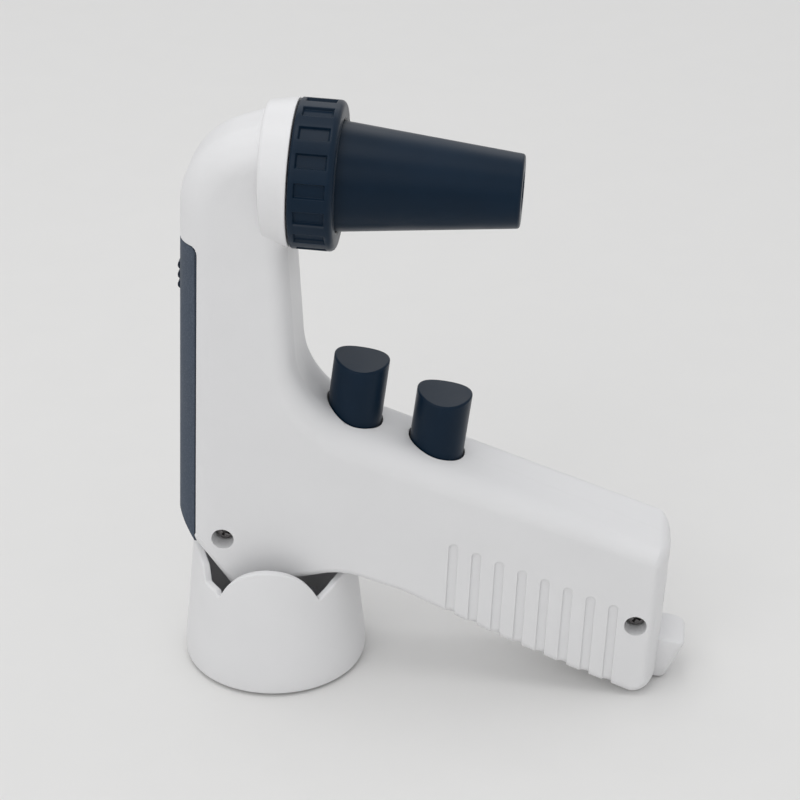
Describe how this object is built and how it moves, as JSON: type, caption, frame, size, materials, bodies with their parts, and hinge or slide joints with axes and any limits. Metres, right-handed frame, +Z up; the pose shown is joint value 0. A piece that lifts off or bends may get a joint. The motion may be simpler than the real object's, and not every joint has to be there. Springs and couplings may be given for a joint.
{
  "type": "pipette controller",
  "caption": "Motorised pipette controller with a horizontal nose cone, two thumb buttons and a grooved grip, standing in a round scalloped cup.",
  "frame": {"origin": "centre of the stand's underside, where it meets the bench", "axes": "+Z up along the stand's axis; +X the way the nose cone points; the middle plane of the controller is y = 0; at rest the controller leans 2.159 degrees about +Y"},
  "size_m": [0.1333, 0.048, 0.1589],
  "materials": {
    "white_plastic": "satin moulded",
    "navy_plastic": "satin moulded",
    "slate_panel": "fine textured",
    "steel": "satin",
    "black_rubber": "matte",
    "silicone": "matte",
    "clear_hose": "satin",
    "frame_plastic": "moulded",
    "circuit_board": "solder mask",
    "battery_wrap": "shrink wrap",
    "filter_white": "moulded",
    "switch_black": "moulded"
  },
  "bodies": {
    "stand": {"stand_cup": "white_plastic", "stand_foot": "black_rubber", "stand_ballast": "steel"},
    "housing": {"right_shell": "white_plastic", "left_shell": "white_plastic", "head_ring": "white_plastic", "back_panel": "slate_panel", "neck_screw": "steel", "grip_screw": "steel", "grip_hook": "white_plastic", "nose_mount": "navy_plastic", "filter_oring": "black_rubber", "membrane_filter": "filter_white", "aspirate_valve": "frame_plastic", "dispense_valve": "frame_plastic", "aspirate_switch": "switch_black", "dispense_switch": "switch_black", "valve_manifold": "frame_plastic", "pump_motor": "steel", "pump_head": "frame_plastic", "diaphragm": "black_rubber", "nose_hose": "clear_hose", "pump_hose": "clear_hose", "control_board": "circuit_board", "battery_pack": "battery_wrap", "charge_socket": "steel"},
    "aspirate_key": {"aspirate_button": "navy_plastic", "aspirate_plunger": "steel", "aspirate_spring": "steel"},
    "dispense_key": {"dispense_button": "navy_plastic", "dispense_plunger": "steel", "dispense_spring": "steel"},
    "nose": {"nose_cone": "navy_plastic", "pipette_adapter": "silicone"},
    "collar": {"collar_nut": "navy_plastic"},
    "slider": {"speed_slider": "navy_plastic"},
    "flap": {"port_flap": "white_plastic"},
    "rotor": {"motor_shaft": "steel", "eccentric_cam": "frame_plastic"}
  },
  "joints": [
    {"name": "lift_out", "type": "slide", "parent": "stand", "child": "housing", "axis": [0, 0, 1], "range_m": [0, 0.05]},
    {"name": "collar_turn", "type": "hinge", "parent": "nose", "child": "collar", "pos_m": [0.01329, 0, 0.14025], "axis": [0.9993, 0, -0.0377], "range_deg": [0, 1080]},
    {"name": "nose_advance", "type": "slide", "parent": "housing", "child": "nose", "axis": [0.9993, 0, -0.0377], "range_m": [0, 0.006]},
    {"name": "speed_slide", "type": "slide", "parent": "housing", "child": "slider", "axis": [0.0377, 0, 0.9993], "range_m": [-0.002, 0.002]},
    {"name": "flap_hinge", "type": "hinge", "parent": "housing", "child": "flap", "pos_m": [0.10392, 0, 0.03731], "axis": [0, -1, 0], "range_deg": [0, 100]},
    {"name": "motor_spin", "type": "hinge", "parent": "housing", "child": "rotor", "pos_m": [-0.00915, 0, 0.08916], "axis": [0.0377, 0, 0.9993], "continuous": true},
    {"name": "aspirate_press", "type": "slide", "parent": "housing", "child": "aspirate_key", "axis": [-0.1246, 0, -0.9922], "range_m": [0, 0.005], "stiffness_N_per_m": 300, "springref_m": -0.003, "deforming": ["aspirate_spring"]},
    {"name": "dispense_press", "type": "slide", "parent": "housing", "child": "dispense_key", "axis": [-0.1246, 0, -0.9922], "range_m": [0, 0.005], "stiffness_N_per_m": 300, "springref_m": -0.003, "deforming": ["dispense_spring"]}
  ],
  "couplings": [
    {"joint": "nose_advance", "follows": "collar_turn", "m_per_rad": 0.00031831}
  ]
}
